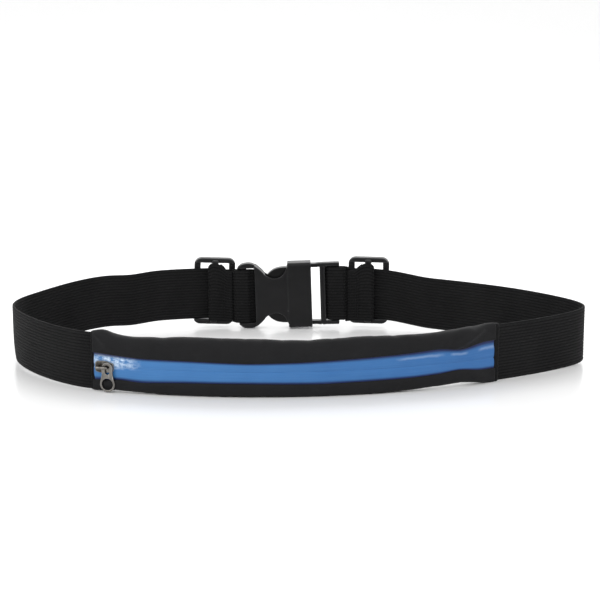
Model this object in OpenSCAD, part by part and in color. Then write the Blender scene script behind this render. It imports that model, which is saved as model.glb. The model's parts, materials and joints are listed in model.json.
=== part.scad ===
// Slim waist pack: a flat zipped pouch on an adjustable webbing belt with a side-release buckle.
// It stands on the lower edge of the belt as a closed loop: +X to the viewer's right, -Y to the
// front (the zip side), +Z up, origin under the middle of the loop.

/* [Webbing] */
// Width of the elastic webbing
web_w = 30; // [28:0.5:30]
// Thickness of the webbing
web_t = 1.4; // [1:0.1:1.4]
// Height of the webbing's lower edge at the buckle
web_z = 5.5; // [5.4:0.1:5.6]

/* [Pouch] */
// Radius of the curve that the pouch lies on
pouch_r = 269; // [240:1:300]
// Angle from the pouch's lowest point to its left end
pouch_left_a = 18.4; // [17:0.1:20]
// Angle from the pouch's lowest point to its right end
pouch_right_a = 27; // [25:0.1:28]
// Height of the pouch
pouch_h = 31; // [30.8:0.1:34]
// Thickness of the pouch's fabric panels
skin_t = 0.9; // [0.6:0.1:1]
// Height of the zip's centre line
zip_z = 13.2; // [13:0.1:16]
// Height of the zip band that shows between the panels
zip_show = 11; // [10.5:0.5:14]

/* [Belt loop] */
// Distance from the pouch's middle to the line of the webbing behind
belt_depth = 148.7; // [140:0.5:160]
// Radius of the webbing beside the buckle, left
left_r = 146; // [142:1:150]
// Angle of that curve, left
left_sweep = 50; // [48:0.5:52]
// Radius of the webbing beside the buckle, right
right_r = 112; // [108:1:116]
// Angle of that curve, right
right_sweep = 41; // [40:0.5:43]

/* [Buckle] */
// Height of the buckle across the belt
buckle_h = 38.6; // [38.4:0.1:39]
// Thickness of the buckle's collar
buckle_t = 9.6; // [9:0.2:11]
// Left end of the buckle, from the pouch's middle
socket_left = -36.8; // [-38:0.1:-36]
// Mouth of the socket, from the pouch's middle
socket_mouth = 6.8; // [6:0.1:7]
// Right end of the buckle, from the pouch's middle
plug_right = 24.7; // [24.5:0.1:26]
// Tilt of the buckle, its left end down
buckle_roll = 1.8; // [1.6:0.1:1.8]

/* [Glides] */
// Length of a tri-glide along the webbing
glide_l = 23.4; // [23:0.1:25]
// Thickness of a tri-glide's end bars and rails
glide_bar = 3.2; // [2.8:0.1:3.4]
// Tilt of the left tri-glide on its webbing
left_glide_roll = 2.5; // [0:0.5:2.5]

/* [Hidden] */
$fn = 48;

// The route of the belt, seen from above. Bends are cubic curves with these handle lengths.
pouch_x = -21;
left_handles = [39.5, 20.6];
right_handles = [81.6, 87];
arc_steps = 24;
bend_steps = 34;
left_binding_l = 1;
right_binding_l = 2.4;
front_z = 0.5;
// lengths over which the webbing stays level, from the buckle
left_level_l = 70;
right_level_l = 52;
// height of the buckle's middle, with room for its tilt above the ground
mid_z = buckle_h / 2 + 1.05;

pouch_c = [pouch_x, pouch_r];
left_c = [socket_left, belt_depth - left_r];
right_c = [plug_right, belt_depth - right_r];
left_binding_a = left_binding_l / pouch_r * 180 / PI;
right_binding_a = right_binding_l / pouch_r * 180 / PI;

function polar(c, r, a) = c + r * [cos(a), sin(a)];
function arc_route(c, r, a0, a1, n) = [for (i = [0:n]) polar(c, r, a0 + (a1 - a0) * i / n)];
function bend(p0, p1, p2, p3, n) =
    [for (i = [1:n]) let (t = i / n, s = 1 - t)
        s * s * s * p0 + 3 * s * s * t * p1 + 3 * s * t * t * p2 + t * t * t * p3];
function unit(v) = v / norm(v);
function heading(p, i) = unit(p[min(i + 1, len(p) - 1)] - p[max(i - 1, 0)]);

// From the buckle outward: an arc, a bend, and a short straight stretch in the pouch's end binding.
// side is -1 on the left and 1 on the right.
function belt_route(side, c, r, sweep, handles, end_a, binding_l) =
    let (turn = 90 - side * sweep,
         arc = arc_route(c, r, 90, turn, arc_steps),
         leave = [side * sin(turn), -side * cos(turn)],
         foot = polar(pouch_c, pouch_r, end_a - 90 + side * binding_l / pouch_r * 180 / PI),
         along = [cos(end_a), sin(end_a)] * side,
         start = arc[arc_steps])
    concat(arc, bend(start, start + handles[0] * leave, foot + handles[1] * along, foot, bend_steps),
           [foot - (binding_l - 0.1) * along]);

left_route = belt_route(-1, left_c, left_r, left_sweep, left_handles, -pouch_left_a, left_binding_l);
right_route = belt_route(1, right_c, right_r, right_sweep, right_handles, pouch_right_a, right_binding_l);

// The strap's turn round a buckle's end bar, from the short inner end to the start of the route.
bar_t = 2;
turn_r = bar_t / 2 + 0.1 + web_t / 2;
stub_gap = 1.55;
function bar_turn(side, end_x, bar_x, stub_l) =
    concat([[end_x + side * stub_l, belt_depth - stub_gap], [end_x + side * 0.5, belt_depth - 2 * turn_r]],
           arc_route([bar_x, belt_depth - turn_r], turn_r, -90, -90 - side * 180, 12));

socket_bar = [socket_left + 0.5, socket_left + 5.8];
plug_bar = [plug_right - 6.3, plug_right - 1.6];
left_stub = 2.4;
right_stub = 2.2;
left_turn = bar_turn(-1, socket_left, socket_bar[1] + 0.3, left_stub);
right_turn = bar_turn(1, plug_right, plug_bar[0] - 0.3, right_stub);

// Origin: under the middle of the loop's own box.
left_x = min([for (p = left_route) p.x]) - web_t / 2;
right_x = max([for (p = right_route) p.x]) + web_t / 2;
front_n = 2.4;
buckle_y = belt_depth - turn_r;
shift = -[(left_x + right_x) / 2, (buckle_y + buckle_t / 2 - front_n) / 2, 0];

// Distance run along a route up to each of its points.
function runs(p, i = 0, d = 0, out = []) =
    i == len(p) ? out : let (e = i == 0 ? 0 : d + norm(p[i] - p[i - 1])) runs(p, i + 1, e, concat(out, [e]));
function smooth(t) = let (s = min(max(t, 0), 1)) s * s * (3 - 2 * s);

// A flat strap standing on edge along a route: four corners at each point, lowered by fall.
module strap(points, low, t = web_t, w = web_w) {
    n = len(points);
    corners = [for (i = [0:n - 1])
        let (h = heading(points, i), out = [h.y, -h.x] * t / 2, p = points[i], z = low[i])
            each [[p.x + out.x, p.y + out.y, z], [p.x + out.x, p.y + out.y, z + w],
                  [p.x - out.x, p.y - out.y, z + w], [p.x - out.x, p.y - out.y, z]]];
    sides = [for (i = [0:n - 2], k = [0:3])
        [4 * i + k, 4 * i + (k + 1) % 4, 4 * i + 4 + (k + 1) % 4, 4 * i + 4 + k]];
    polyhedron(corners, concat([[3, 2, 1, 0]], sides, [[for (k = [0:3]) 4 * (n - 1) + k]]));
}

// Lower edge of the webbing at each point: level beside the buckle, then down to the pouch.
function low_edge(route, level_l) =
    let (d = runs(route), whole = d[len(d) - 1])
    [for (e = d) web_z + (front_z - web_z) * smooth((e - level_l) / (whole - level_l))];
function level(points, z) = [for (p = points) z];
function tail(list, k) = [for (i = [k:len(list) - 1]) list[i]];
function head(list, k) = [for (i = [0:k]) list[i]];

/* Places */

module at_pouch(a) {
    translate([pouch_x, pouch_r, 0])
        rotate(a)
            children();
}

// Local x runs along the pouch to the right, local y points in to the wearer, from the mid surface.
module on_pouch(a) {
    at_pouch(a)
        translate([0, -pouch_r, 0])
            children();
}

// Local x runs along the webbing, local y points outward, from the webbing's mid surface.
module on_arc(c, r, a) {
    translate([c.x, c.y, 0])
        rotate(a)
            translate([0, r, 0])
                children();
}

module on_buckle() {
    translate([0, buckle_y, mid_z])
        rotate([0, -buckle_roll, 0])
            children();
}

// Turns a shape drawn in x and z so that it lies in that plane, t thick about y = 0.
module upright(t) {
    rotate([90, 0, 0])
        translate([0, 0, -t / 2])
            linear_extrude(t)
                children();
}

module rounded(w, h, r) {
    square([w - 2 * r, h], center = true);
    square([w, h - 2 * r], center = true);
    for (x = [-1, 1], y = [-1, 1])
        translate([x * (w / 2 - r), y * (h / 2 - r)])
            circle(r);
}

/* Pouch */

back_n = -3.4;
panel_in = front_n - skin_t;
corner_r = 2.4;

// Sweeps a profile of outward distance and height along the pouch.
module along_pouch(a0, a1) {
    at_pouch(a0 - 90)
        rotate_extrude(angle = a1 - a0, $fn = 360)
            translate([pouch_r, 0])
                children();
}

module whole_pouch() {
    along_pouch(-pouch_left_a, pouch_right_a)
        children();
}

// Front and top of the upper panel, or front and bottom of the lower one before mirroring.
module panel_profile(reach) {
    translate([panel_in, -reach])
        square([skin_t, reach - corner_r]);
    translate([back_n + skin_t + 0.15, -skin_t])
        square([front_n - corner_r - back_n - skin_t - 0.15, skin_t]);
    translate([front_n - corner_r, -corner_r])
        intersection() {
            difference() {
                circle(corner_r);
                circle(corner_r - skin_t);
            }
            square(corner_r);
        }
}

module back_panel() {
    color("#242427")
        whole_pouch()
            translate([back_n, 0.4])
                square([skin_t + 0.1, pouch_h - 0.8]);
}

module upper_panel() {
    color("#2b2b2d")
        whole_pouch()
            translate([0, pouch_h])
                panel_profile(pouch_h - zip_z - zip_show / 2);
}

module lower_panel() {
    color("#29292b")
        whole_pouch()
            mirror([0, 1])
                panel_profile(zip_z - zip_show / 2);
}

module end_binding(a0, a1) {
    slot_t = web_t + 0.1;
    slot_h = web_w + 0.1;
    color("#1c1c1e")
        along_pouch(a0, a1)
            difference() {
                translate([back_n, 0])
                    square([front_n - back_n, pouch_h]);
                translate([-slot_t / 2, front_z - 0.05])
                    square([slot_t, slot_h]);
            }
}

module left_end_binding() {
    end_binding(-pouch_left_a - left_binding_a, -pouch_left_a - 0.01);
}

module right_end_binding() {
    end_binding(pouch_right_a + 0.01, pouch_right_a + right_binding_a);
}

/* Zip */

slit = 1.2;
tape_n = [0.9, 1.45];
coil_n = [-0.8, 0.85];
coil_h = 2;
slider_l = 10;
slider_from_end = 6.9;
stop_l = 1.6;
slider_a = -pouch_left_a + slider_from_end / pouch_r * 180 / PI;

module zip_side(side) {
    translate([0, zip_z])
        mirror([0, side < 0 ? 1 : 0])
            translate([0, slit / 2])
                children();
}

module zip_tape(side) {
    color("#4a86c8")
        whole_pouch()
            zip_side(side)
                translate([tape_n[0], 0])
                    square([tape_n[1] - tape_n[0], zip_show / 2 + 2.4]);
}

module upper_zip_tape() {
    zip_tape(1);
}

module lower_zip_tape() {
    zip_tape(-1);
}

coil_end_a = 3 / pouch_r * 180 / PI;

module zip_coil(side) {
    color("#3a6fae")
        along_pouch(-pouch_left_a + coil_end_a, pouch_right_a - coil_end_a)
            zip_side(side)
                translate([coil_n[0], 0])
                    square([coil_n[1] - coil_n[0], coil_h]);
}

module upper_zip_coil() {
    zip_coil(1);
}

module lower_zip_coil() {
    zip_coil(-1);
}

// Two small clamps, one on the end of each coil.
module zip_top_stop() {
    stop_a = stop_l / pouch_r * 180 / PI;
    color("#8c8780")
        for (side = [-1, 1])
            along_pouch(-pouch_left_a + stop_a / 2, -pouch_left_a + stop_a * 1.5)
                zip_side(side)
                    translate([coil_n[0], 0])
                        square([coil_n[1] - coil_n[0], coil_h]);
}

// One box that joins the two coils.
module zip_bottom_stop() {
    stop_a = stop_l / pouch_r * 180 / PI;
    color("#8c8780")
        along_pouch(pouch_right_a - stop_a * 1.6, pouch_right_a - stop_a * 0.6)
            translate([coil_n[0] - 0.2, zip_z - coil_h - slit / 2])
                square([coil_n[1] - coil_n[0] + 0.2, 2 * coil_h + slit]);
}

plate_n = [1.75, 2.75];
rear_n = [-1.9, -1.1];
slider_h = 8.6;
leg_r = 0.7;
leg_s = 2;
back_leg_s = -3.2;
crown_n = 5.7;
pull_n = [3.05, 3.95];

module slider_plate(n) {
    translate([0, -(n[0] + n[1]) / 2, 0])
        upright(n[1] - n[0])
            intersection() {
                rounded(slider_l, slider_h, 1.4);
                polygon([[-slider_l / 2, -slider_h / 2], [slider_l / 2, -slider_h / 2 + 0.9],
                         [slider_l / 2, slider_h / 2 - 0.9], [-slider_l / 2, slider_h / 2]]);
            }
}

module zip_slider() {
    lip_z = slider_h / 2 - 1.05;
    color("#8c8780")
        on_pouch(slider_a)
            translate([0, 0, zip_z]) {
                slider_plate(plate_n);
                slider_plate(rear_n);
                // post between the plates, running in the slit
                translate([-4.6, -plate_n[0] - 0.1, -0.35])
                    cube([1.8, plate_n[0] - rear_n[1] + 0.2, 0.7]);
                // lips that guide the coils
                for (side = [-1, 1])
                    translate([-3.5, -rear_n[1] - 0.8, side * lip_z - 0.35])
                        cube([6.4, 0.9, 0.7]);
                // crown: two legs and the bar that joins them
                for (s = [back_leg_s, leg_s])
                    translate([s, -plate_n[1] + 0.1, 0])
                        rotate([90, 0, 0])
                            cylinder(r = leg_r, h = crown_n - plate_n[1] - leg_r + 0.1);
                translate([back_leg_s, -crown_n + leg_r, 0])
                    rotate([0, 90, 0])
                        cylinder(r = leg_r + 0.05, h = leg_s - back_leg_s);
                for (s = [back_leg_s, leg_s])
                    translate([s, -crown_n + leg_r, 0])
                        sphere(leg_r + 0.05);
            }
}

pull_l = 12.8;
pull_top_r = 2.9;
pull_waist = 3.6;
eye_r = 1.3;
eye_drop = 2.4;
pull_ring_r = 4;
pull_ring_hole = 3.1;

// Hangs from the crown's front leg, which stands in the top of its long eye.
module zip_pull() {
    ring_z = -pull_l + pull_ring_r;
    color("#8c8780")
        on_pouch(slider_a)
            translate([leg_s, -(pull_n[0] + pull_n[1]) / 2, zip_z])
                upright(pull_n[1] - pull_n[0])
                    difference() {
                        union() {
                            translate([0, -0.3])
                                circle(pull_top_r);
                            translate([0, ring_z])
                                circle(pull_ring_r);
                            polygon([[-pull_top_r, -0.3], [-pull_top_r, -pull_waist], [-3.8, ring_z + 1.2],
                                     [3.8, ring_z + 1.2], [pull_top_r, -pull_waist], [pull_top_r, -0.3]]);
                        }
                        circle(eye_r);
                        translate([0, -eye_drop])
                            circle(eye_r);
                        translate([-eye_r, -eye_drop])
                            square([2 * eye_r, eye_drop]);
                        translate([0, ring_z])
                            circle(pull_ring_hole);
                    }
}

/* Webbing */

split_i = arc_steps + round(bend_steps * 0.46);
right_low = low_edge(right_route, right_level_l);

module left_webbing() {
    points = concat(left_turn, left_route);
    low = concat(level(left_turn, web_z), low_edge(left_route, left_level_l));
    color("#202022")
        strap(points, low);
}

// The right strap is one piece of webbing, in two halves so that the buckle can be drawn open.
module right_webbing_front() {
    color("#202022")
        strap(tail(right_route, split_i), tail(right_low, split_i));
}

module right_webbing_rear() {
    cut = right_route[split_i] - 0.15 * heading(right_route, split_i);
    points = concat(right_turn, head(right_route, split_i - 1), [cut]);
    low = concat(level(right_turn, web_z), head(right_low, split_i));
    color("#202022")
        strap(points, low);
}

/* Tri-glides */

glide_h = 38.8;
window_h = web_w + 4.2;
channel_out = 0.95;
glide_n = [-2, 2.6];
centre_bar_n = [-3.6, -2];
centre_bar_w = 3.2;
left_glide_at = 13.5;
right_glide_at = 15.4;
// heights of the middles of the glides, and of the sewn loops below them
left_glide_z = 21.9;
right_glide_z = 22.35;
loop_drop = 2.2;

function turned(l, r) = l / r * 180 / PI;

module glide() {
    frame_t = glide_n[1] - glide_n[0];
    color("#262628") {
        difference() {
            translate([0, (glide_n[0] + glide_n[1]) / 2, 0])
                upright(frame_t)
                    rounded(glide_l, glide_h, 4);
            cube([glide_l - 2 * glide_bar, 2 * frame_t, window_h], center = true);
            translate([0, channel_out - frame_t, 0])
                cube([glide_l + 1, 2 * frame_t, window_h], center = true);
        }
        translate([0, (centre_bar_n[0] + centre_bar_n[1]) / 2, 0])
            upright(centre_bar_n[1] - centre_bar_n[0])
                rounded(centre_bar_w, window_h + 2.6, 0.6);
        for (side = [-1, 1])
            translate([0, centre_bar_n[1], side * (window_h / 2 + 0.7)])
                cube([centre_bar_w, 1, 1.2], center = true);
    }
}

module left_glide_place() {
    on_arc(left_c, left_r, turned(left_glide_at, left_r))
        translate([0, 0, left_glide_z])
            rotate([0, left_glide_roll, 0])
                children();
}

module right_glide_place() {
    on_arc(right_c, right_r, -turned(right_glide_at, right_r))
        translate([0, 0, right_glide_z])
            children();
}

module left_glide() {
    left_glide_place()
        glide();
}

module right_glide() {
    right_glide_place()
        glide();
}

loop_t = 1;
loop_out = -0.95;
loop_w = web_w - 1;

// A curved slab of webbing that follows the strap: n0 to n1 outward, from l0 to l1 along it.
module arc_slab(r, n0, n1, l0, l1, w = loop_w) {
    translate([0, -r, -w / 2])
        rotate(90 - turned(l1, r))
            rotate_extrude(angle = turned(l1 - l0, r), $fn = 360)
                translate([r + n0, 0])
                    square([n1 - n0, w]);
}

// The webbing's sewn end: round the centre bar, and back on itself towards the buckle.
// The buckle is on the side of local +x.
module sewn_loop(r, flap_l) {
    bar_out = loop_out - loop_t;
    bar_in = centre_bar_n[0] - 0.05;
    fold = -centre_bar_w / 2 - 0.1 - loop_t;
    near = centre_bar_w / 2 + 0.85;
    color("#202022") {
        difference() {
            arc_slab(r, bar_in - loop_t, loop_out, fold, near + loop_t);
            arc_slab(r, bar_in, bar_out, fold + loop_t, near, loop_w + 2);
        }
        arc_slab(r, bar_out - loop_t, loop_out, near + loop_t / 2, flap_l);
    }
}

module left_sewn_loop() {
    left_glide_place()
        translate([0, 0, -loop_drop])
            sewn_loop(left_r, 10);
}

module right_sewn_loop() {
    right_glide_place()
        translate([0, 0, -loop_drop])
            mirror([1, 0, 0])
                sewn_loop(right_r, 12);
}

/* Buckle */

half_h = buckle_h / 2;
rail_t = 5;
slot_half = 16.4;
slot_end = -25.1;
neck_x = -20.1;
collar_x = -7;
cavity_half_t = 2.8;
cavity_half_h = 18.4;
plate_t = 8.6;

// A smooth open line through points, steps pieces between each two.
function curve_at(p, i, t) =
    let (a = p[max(i - 1, 0)], b = p[i], c = p[i + 1], d = p[min(i + 2, len(p) - 1)])
    0.5 * (2 * b + (c - a) * t + (2 * a - 5 * b + 4 * c - d) * t * t + (3 * b - a - 3 * c + d) * t * t * t);
function smooth_line(p, steps = 3) =
    concat([for (i = [0:len(p) - 2], k = [0:steps - 1]) curve_at(p, i, k / steps)], [p[len(p) - 1]]);

// Outline of the socket from its strap slot to the collar, as half heights along x.
module socket_outline() {
    top = smooth_line([[socket_left, 14], [socket_left + 0.7, 16.6], [socket_left + 2.6, half_h - 0.8],
                       [socket_left + 5.4, half_h], [slot_end - 3, half_h - 0.1], [slot_end - 0.4, half_h - 1.4],
                       [neck_x - 1.6, 14.6], [neck_x, 12.6], [neck_x + 2, 11.4], [neck_x + 5.2, 10.4],
                       [neck_x + 8.4, 10.9], [neck_x + 11, 13], [collar_x, 17], [collar_x + 2, 17.2]]);
    polygon(concat(top, [for (i = [len(top) - 1:-1:0]) [top[i].x, -top[i].y]]));
}

module buckle_socket() {
    collar_l = socket_mouth - collar_x;
    color("#262628")
        on_buckle()
            difference() {
                union() {
                    intersection() {
                        upright(plate_t)
                            socket_outline();
                        translate([slot_end - 1, -plate_t, -half_h - 1])
                            cube([collar_x + 3 - slot_end, 2 * plate_t, buckle_h + 2]);
                    }
                    difference() {
                        upright(rail_t)
                            socket_outline();
                        translate([socket_bar[1], -rail_t, -slot_half])
                            cube([slot_end - socket_bar[1], 2 * rail_t, 2 * slot_half]);
                        for (side = [-1, 1])
                            translate([socket_left - 1, side * (rail_t + bar_t) / 2 - rail_t / 2, -slot_half])
                                cube([socket_bar[1] - socket_left + 1.1, rail_t, 2 * slot_half]);
                        translate([socket_left - 1, -rail_t, -slot_half])
                            cube([1 + socket_bar[0] - socket_left, 2 * rail_t, 2 * slot_half]);
                    }
                    translate([collar_x + collar_l / 2, 0, 0])
                        rotate([90, 0, 90])
                            translate([0, 0, -collar_l / 2])
                                linear_extrude(collar_l)
                                    rounded(buckle_t, buckle_h, 1.6);
                }
                translate([neck_x, -cavity_half_t, -cavity_half_h])
                    cube([socket_mouth - neck_x + 1, 2 * cavity_half_t, 2 * cavity_half_h]);
            }
}

prong_root_x = 10.4;
arm_z = [16, 18.1];
arm_half_t = 2.4;
base_x = 11.8;
ribbed_bar_end = 14.9;

module buckle_plug() {
    base_l = plug_right - base_x;
    color("#262628")
        on_buckle() {
            difference() {
                translate([base_x + base_l / 2, 0, 0])
                    upright(2 * arm_half_t)
                        rounded(base_l, 2 * arm_z[1] + 0.6, 1.6);
                // slot behind the ribbed bar, where the strap turns
                translate([ribbed_bar_end, -buckle_t, -slot_half])
                    cube([plug_bar[0] - ribbed_bar_end, 2 * buckle_t, 2 * slot_half]);
                // the end bar is thinner than the rails, so that the strap lies over it
                for (side = [-1, 1])
                    translate([plug_bar[0] - 0.1, side * (buckle_t + bar_t) / 2 - buckle_t / 2, -slot_half])
                        cube([plug_right, buckle_t, 2 * slot_half]);
                translate([plug_bar[1], -buckle_t, -slot_half])
                    cube([plug_right, 2 * buckle_t, 2 * slot_half]);
                // groove along the ribbed bar, on both faces
                for (side = [-1, 1])
                    translate([base_x + 1.4, side * arm_half_t - 0.5, -slot_half])
                        cube([0.8, 1, 2 * slot_half]);
            }
        }
}

// One sprung arm with its thumb tab, drawn about the buckle's middle for the upper side.
module prong() {
    mid_arm = (arm_z[0] + arm_z[1]) / 2;
    arm_r = (arm_z[1] - arm_z[0]) / 2;
    arm_end = prong_root_x - 0.2;
    upright(2 * arm_half_t) {
        translate([prong_root_x, mid_arm])
            circle(arm_r);
        polygon(concat(smooth_line([[arm_end, arm_z[0]], [0, 15.8], [-3.2, 14.9], [-6.6, 12.6],
                                    [-10, 9], [-16, 8.6], [-18.6, 9.6]]),
                       smooth_line([[-18.8, 12.2], [-17, 14], [-14.5, 15.5], [-12, 16.2], [-9.5, 16.5],
                                    [collar_x - 0.2, 16.5]]),
                       [[-3.5, 17.7], [0, arm_z[1]], [arm_end, arm_z[1]]]));
    }
}

module upper_prong() {
    color("#202022")
        on_buckle()
            prong();
}

module lower_prong() {
    color("#202022")
        on_buckle()
            mirror([0, 0, 1])
                prong();
}

translate(shift) {
    back_panel();
    upper_panel();
    lower_panel();
    left_end_binding();
    right_end_binding();
    upper_zip_tape();
    lower_zip_tape();
    upper_zip_coil();
    lower_zip_coil();
    zip_top_stop();
    zip_bottom_stop();
    zip_slider();
    zip_pull();
    left_webbing();
    right_webbing_front();
    right_webbing_rear();
    left_glide();
    right_glide();
    left_sewn_loop();
    right_sewn_loop();
    buckle_socket();
    buckle_plug();
    upper_prong();
    lower_prong();
}
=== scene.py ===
import json
import math
import bmesh
import bpy
import numpy as np
from mathutils import Matrix, Vector, noise


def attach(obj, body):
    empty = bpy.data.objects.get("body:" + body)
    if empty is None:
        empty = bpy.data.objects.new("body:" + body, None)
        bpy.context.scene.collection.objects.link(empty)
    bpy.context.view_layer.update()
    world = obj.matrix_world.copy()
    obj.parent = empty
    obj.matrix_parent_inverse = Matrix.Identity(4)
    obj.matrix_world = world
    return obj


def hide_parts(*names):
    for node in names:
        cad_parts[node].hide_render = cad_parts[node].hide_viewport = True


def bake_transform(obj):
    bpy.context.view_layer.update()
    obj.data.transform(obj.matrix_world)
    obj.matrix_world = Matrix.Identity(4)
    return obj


# A slim zipped waist pack on an elastic belt. Lengths in the dictionaries are millimetres.
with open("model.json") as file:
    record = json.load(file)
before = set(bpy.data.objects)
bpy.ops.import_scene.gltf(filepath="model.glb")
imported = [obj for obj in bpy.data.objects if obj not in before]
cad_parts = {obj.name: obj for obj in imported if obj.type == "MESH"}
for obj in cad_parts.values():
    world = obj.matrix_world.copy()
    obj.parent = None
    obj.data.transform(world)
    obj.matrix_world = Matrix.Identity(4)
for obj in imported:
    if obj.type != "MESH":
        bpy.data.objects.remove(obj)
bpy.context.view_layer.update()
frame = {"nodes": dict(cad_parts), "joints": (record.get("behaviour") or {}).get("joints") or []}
cadNodes = frame["nodes"]
joints = {j["name"]: j for j in frame["joints"]}
millimetre = 0.001
scene = bpy.context.scene
scene.view_settings.view_transform = "Standard"
print("frame loaded")


def jointPlace(name):
    return np.array(joints[name]["pos_m"][:2]) / millimetre


# The camera stands in front of the pouch. Its place is counted from the centre of the pouch's curve.
shot = {"fromCentre": (21.0, -1142.0), "height": 252.0, "tiltDown": 13.0, "lens": 107.2, "sensor": 36.0}
pouchCentre = jointPlace("zip_slide")
camera = bpy.data.objects.new("camera", bpy.data.cameras.new("camera"))
scene.collection.objects.link(camera)
camera.location = Vector((*(pouchCentre + shot["fromCentre"]), shot["height"])) * millimetre
camera.rotation_euler = (math.radians(90 - shot["tiltDown"]), 0, 0)
camera.data.lens = shot["lens"]
camera.data.sensor_width = shot["sensor"]
camera.data.clip_end = 50
scene.camera = camera


# A wire is one output in a material, and sums on wires add Math nodes.
class Wire:
    def __init__(self, finish, link):
        self.finish, self.link = finish, link

    def sum(self, operation, *others):
        values = dict(enumerate((self,) + others))
        return self.finish.node("ShaderNodeMath", {"operation": operation}, values)

    def __add__(self, other):
        return self.sum("ADD", other)

    def __sub__(self, other):
        return self.sum("SUBTRACT", other)

    def __mul__(self, other):
        return self.sum("MULTIPLY", other)

    def __truediv__(self, other):
        return self.sum("DIVIDE", other)

    def __rsub__(self, other):
        return self.finish.node("ShaderNodeMath", {"operation": "SUBTRACT"}, {0: other, 1: self})

    __radd__, __rmul__ = __add__, __mul__


class Finish:
    def __init__(self, name, **constants):
        self.material = bpy.data.materials.new(name)
        self.material.use_nodes = True
        self.tree = self.material.node_tree
        self.tree.nodes.clear()
        self.skin = self.tree.nodes.new("ShaderNodeBsdfPrincipled")
        output = self.tree.nodes.new("ShaderNodeOutputMaterial")
        self.tree.links.new(self.skin.outputs[0], output.inputs[0])
        for words, value in constants.items():
            self.feed(words, value)

    def feed(self, words, value):
        socket = next(i for i in self.skin.inputs if i.name.replace(" ", "").lower() == words.lower())
        if isinstance(value, Wire):
            self.tree.links.new(value.link, socket)
        else:
            socket.default_value = value

    def node(self, kind, settings=None, sockets=None, output=0):
        made = self.tree.nodes.new(kind)
        for name, value in (settings or {}).items():
            if name == "stops":
                for k, (place, shade) in enumerate(value):
                    stop = made.color_ramp.elements[k] if k < 2 else made.color_ramp.elements.new(place)
                    stop.position, stop.color = place, (shade, shade, shade, 1)
            else:
                setattr(made, name, value)
        for name, value in (sockets or {}).items():
            if isinstance(value, Wire):
                self.tree.links.new(value.link, made.inputs[name])
            else:
                made.inputs[name].default_value = value
        return Wire(self, made.outputs[output])

    def sheetPlace(self):
        place = self.node("ShaderNodeUVMap", {"uv_map": "UVMap"})
        split = {0: place}
        return (place, self.node("ShaderNodeSeparateXYZ", None, split, 0),
                self.node("ShaderNodeSeparateXYZ", None, split, 1))

    def bodyPlace(self):
        return self.node("ShaderNodeTexCoord", None, None, 3)

    def stretched(self, place, factors):
        return self.node("ShaderNodeVectorMath", {"operation": "MULTIPLY"}, {0: place, 1: factors})

    def clouds(self, place, scale, detail=2.0, roughness=0.5):
        return self.node("ShaderNodeTexNoise", None,
                         {"Vector": place, "Scale": scale, "Detail": detail, "Roughness": roughness})

    def ramp(self, value, *stops):
        return self.node("ShaderNodeValToRGB", {"stops": stops}, {0: value})

    def shade(self, factor, first, second):
        sockets = {0: factor}
        for index, colour in ((6, first), (7, second)):
            sockets[index] = colour if isinstance(colour, Wire) else (*colour, 1)
        return self.node("ShaderNodeMix", {"data_type": "RGBA"}, sockets, 2)

    def relief(self, height, depth, strength=1.0):
        self.feed("normal", self.node("ShaderNodeBump", None, {
            "Height": height, "Distance": depth * millimetre, "Strength": strength}))


knit = {"loop": 0.62, "dark": (0.0085, 0.0085, 0.0092), "light": (0.0165, 0.0165, 0.0175), "relief": 0.07}


def knitFinish(name, toneAndShadeDim=1.0):
    f = Finish(name, roughness=0.6, sheenWeight=0.05, sheenRoughness=0.4, specularIorLevel=0.1)
    place, along, across = f.sheetPlace()
    loops = (along * (2 * math.pi / knit["loop"])).sum("SINE") * (across * (math.pi / knit["loop"])).sum("SINE")
    patches = f.clouds(place, 0.06, 3)
    lint = f.clouds(place, 2.4, 2)
    tone = patches * 0.65 + lint * 0.25 + loops * 0.08
    # a darkened copy is darker all over: for the binding partly its own darker tone, partly painted shade
    f.feed("baseColor", f.shade(tone, [c * toneAndShadeDim for c in knit["dark"]], [c * toneAndShadeDim for c in knit["light"]]))
    f.feed("roughness", 0.5 + lint * 0.16 + loops * 0.03)
    f.relief(loops * 0.5 + lint * 0.6 + f.clouds(place, 0.35, 2) * 1.2, knit["relief"])
    return f.material


tapeCoat = {"blue": (0.066, 0.225, 0.5), "deep": (0.024, 0.115, 0.33), "navy": (0.004, 0.014, 0.08), "streak": 0.4,
            "relief": 0.06, "crumpleEnd": 27.0, "glint": (0.62, 0.76, 0.92), "seamGlint": 0.22,
            "seams": ((156, 184), (186, 197), (202, 214)), "edgeAt": 4.1}


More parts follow.
